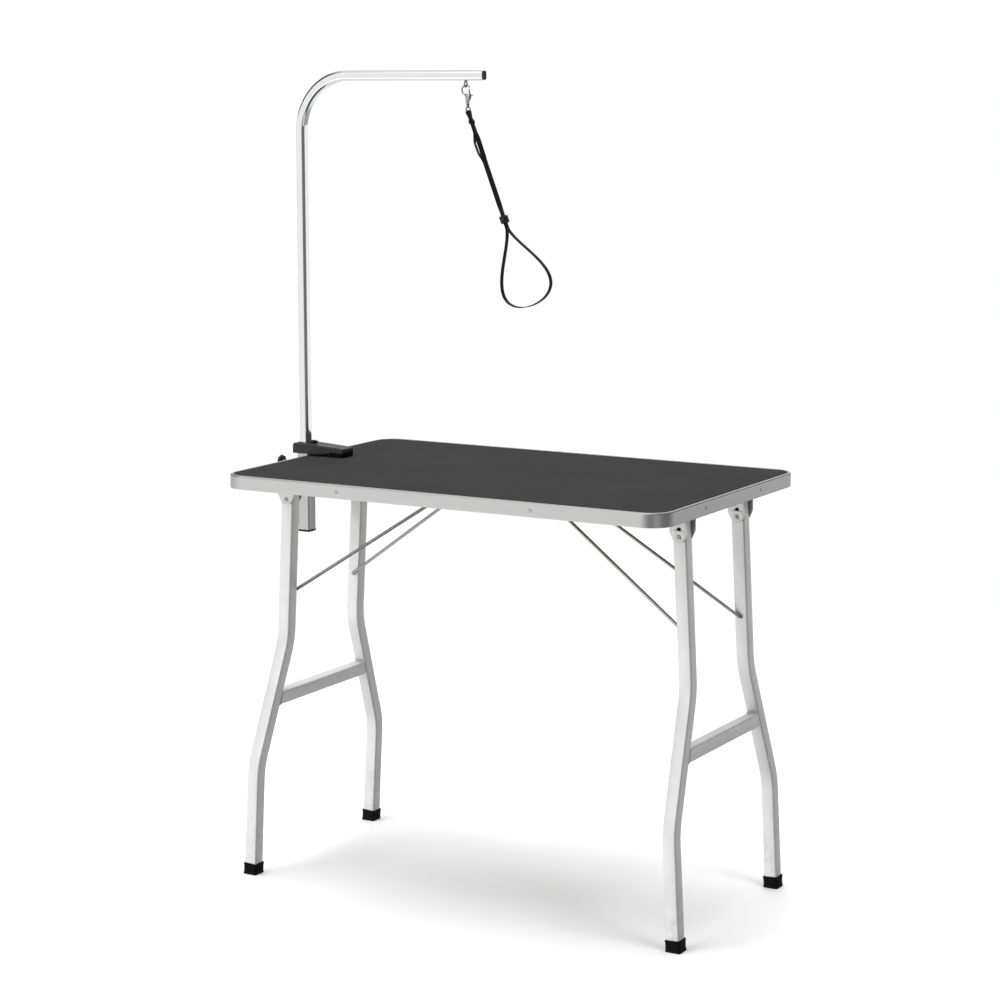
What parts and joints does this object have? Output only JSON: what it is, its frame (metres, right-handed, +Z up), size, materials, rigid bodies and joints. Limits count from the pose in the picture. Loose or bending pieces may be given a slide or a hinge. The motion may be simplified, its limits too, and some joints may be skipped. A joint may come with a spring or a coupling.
{
  "type": "folding grooming table",
  "caption": "Folding pet grooming table with a textured rubber mat, bent square tube leg frames, wire braces and a clamp-on chrome arm with a noose.",
  "frame": {"origin": "centre of the work surface, on the top of the rubber mat; the floor is at z = -0.7837 m", "axes": "+X along the board away from the arm's end, -Y the front, +Z up"},
  "size_m": [0.997, 0.5718, 1.5205],
  "materials": {
    "silver_paint": "satin silver paint",
    "trim_aluminium": "satin extrusion",
    "zinc_plate": "zinc plated",
    "chrome": "bright",
    "black_powder_coat": "fine textured black",
    "black_plastic": "moulded",
    "black_rubber": "matt",
    "mat_rubber": "fine textured matt",
    "board_wood": "bare fibreboard",
    "nylon_webbing": "woven"
  },
  "bodies": {
    "table": {"tabletop_board": "board_wood", "rubber_mat": "mat_rubber", "edge_trim": "trim_aluminium", "trim_screw_front_left": "zinc_plate", "trim_screw_front_right": "zinc_plate", "trim_screw_back_left": "zinc_plate", "trim_screw_back_right": "zinc_plate", "trim_screw_right_front": "zinc_plate", "trim_screw_right_back": "zinc_plate", "trim_screw_left_front": "zinc_plate", "trim_screw_left_back": "zinc_plate", "hinge_bracket_left_front": "zinc_plate", "hinge_bracket_left_back": "zinc_plate", "hinge_bracket_right_front": "zinc_plate", "hinge_bracket_right_back": "zinc_plate", "pivot_rivet_left_front": "zinc_plate", "pivot_rivet_left_back": "zinc_plate", "pivot_rivet_right_front": "zinc_plate", "pivot_rivet_right_back": "zinc_plate", "brace_clip_left": "zinc_plate", "brace_clip_right": "zinc_plate", "clamp_upper_jaw": "black_powder_coat", "jaw_pad": "black_rubber", "clamp_lower_jaw": "black_powder_coat", "clamp_sleeve": "silver_paint", "sleeve_end_cap": "black_plastic", "lock_nut": "black_powder_coat"},
    "left_leg_frame": {"leg_tube_left_front": "silver_paint", "leg_tube_left_back": "silver_paint", "crossbar_left": "silver_paint", "foot_cap_left_front": "black_rubber", "foot_cap_left_back": "black_rubber"},
    "right_leg_frame": {"leg_tube_right_front": "silver_paint", "leg_tube_right_back": "silver_paint", "crossbar_right": "silver_paint", "foot_cap_right_front": "black_rubber", "foot_cap_right_back": "black_rubber"},
    "left_brace": {"brace_wire_left": "chrome"},
    "right_brace": {"brace_wire_right": "chrome"},
    "clamp_screw_body": {"clamp_screw": "zinc_plate", "pressure_pad": "black_rubber"},
    "clamp_knob_body": {"clamp_knob": "black_plastic"},
    "lock_screw_body": {"lock_screw": "zinc_plate"},
    "lock_knob_body": {"lock_knob": "black_plastic"},
    "set_screw_body": {"set_screw": "black_plastic"},
    "arm": {"arm_tube": "chrome", "arm_end_cap": "black_plastic", "post_plug": "black_plastic", "arm_eye": "chrome"},
    "snap": {"snap_hook": "chrome"},
    "snap_bolt_body": {"snap_bolt": "chrome"},
    "swivel": {"swivel_ring": "chrome"},
    "noose": {"noose_strap": "nylon_webbing", "strap_keeper": "nylon_webbing"},
    "slider": {"noose_slider": "black_plastic"}
  },
  "joints": [
    {"name": "left_leg_fold", "type": "hinge", "parent": "table", "child": "left_leg_frame", "pos_m": [-0.41235, 0, -0.065], "axis": [0, -1, 0], "range_deg": [0, 92.04]},
    {"name": "right_leg_fold", "type": "hinge", "parent": "table", "child": "right_leg_frame", "pos_m": [0.41235, 0, -0.065], "axis": [0, 1, 0], "range_deg": [0, 87.04]},
    {"name": "left_brace_swing", "type": "hinge", "parent": "left_leg_frame", "child": "left_brace", "pos_m": [-0.42211, 0, -0.24874], "axis": [0, -1, 0], "range_deg": [-122.1, 0]},
    {"name": "right_brace_swing", "type": "hinge", "parent": "right_leg_frame", "child": "right_brace", "pos_m": [0.42211, 0, -0.24874], "axis": [0, 1, 0], "range_deg": [-122.11, 0]},
    {"name": "clamp_screw_travel", "type": "slide", "parent": "table", "child": "clamp_screw_body", "axis": [0, 0, 1], "range_m": [-0.008, 0]},
    {"name": "clamp_knob_turn", "type": "hinge", "parent": "clamp_screw_body", "child": "clamp_knob_body", "pos_m": [-0.4, 0.018, -0.0669], "axis": [0, 0, 1], "range_deg": [-1440, 0]},
    {"name": "lock_screw_travel", "type": "slide", "parent": "table", "child": "lock_screw_body", "axis": [-1, 0, 0], "range_m": [0, 0.003]},
    {"name": "lock_knob_turn", "type": "hinge", "parent": "lock_screw_body", "child": "lock_knob_body", "pos_m": [-0.528, 0.018, -0.0187], "axis": [-1, 0, 0], "range_deg": [0, 1080]},
    {"name": "set_screw_turn", "type": "hinge", "parent": "table", "child": "set_screw_body", "pos_m": [-0.4465, 0.011, 0.0256], "axis": [0, 0, 1], "continuous": true},
    {"name": "arm_height", "type": "slide", "parent": "table", "child": "arm", "axis": [0, 0, 1], "range_m": [-0.03, 0.07]},
    {"name": "leash_swing", "type": "hinge", "parent": "arm", "child": "snap", "pos_m": [-0.105, 0.018, 0.706], "axis": [0, -1, 0], "range_deg": [-40, 30]},
    {"name": "snap_bolt_slide", "type": "slide", "parent": "snap", "child": "snap_bolt_body", "axis": [0.1201, 0, -0.9928], "range_m": [0, 0.0045]},
    {"name": "swivel_turn", "type": "hinge", "parent": "snap", "child": "swivel", "pos_m": [-0.10103, 0.018, 0.67324], "axis": [-0.1201, 0, 0.9928], "continuous": true},
    {"name": "strap_swing", "type": "hinge", "parent": "swivel", "child": "noose", "pos_m": [-0.09952, 0.018, 0.66073], "axis": [0, -1, 0], "range_deg": [-35, 25]},
    {"name": "noose_adjust", "type": "slide", "parent": "noose", "child": "slider", "axis": [-0.3633, 0, 0.9317], "range_m": [0, 0.1]}
  ],
  "couplings": [
    {"joint": "left_brace_swing", "follows": "left_leg_fold", "ratio": -1.3261},
    {"joint": "right_brace_swing", "follows": "right_leg_fold", "ratio": -1.4023},
    {"joint": "clamp_screw_travel", "follows": "clamp_knob_turn", "m_per_rad": 0.00031831},
    {"joint": "lock_screw_travel", "follows": "lock_knob_turn", "m_per_rad": 0.00015915}
  ]
}
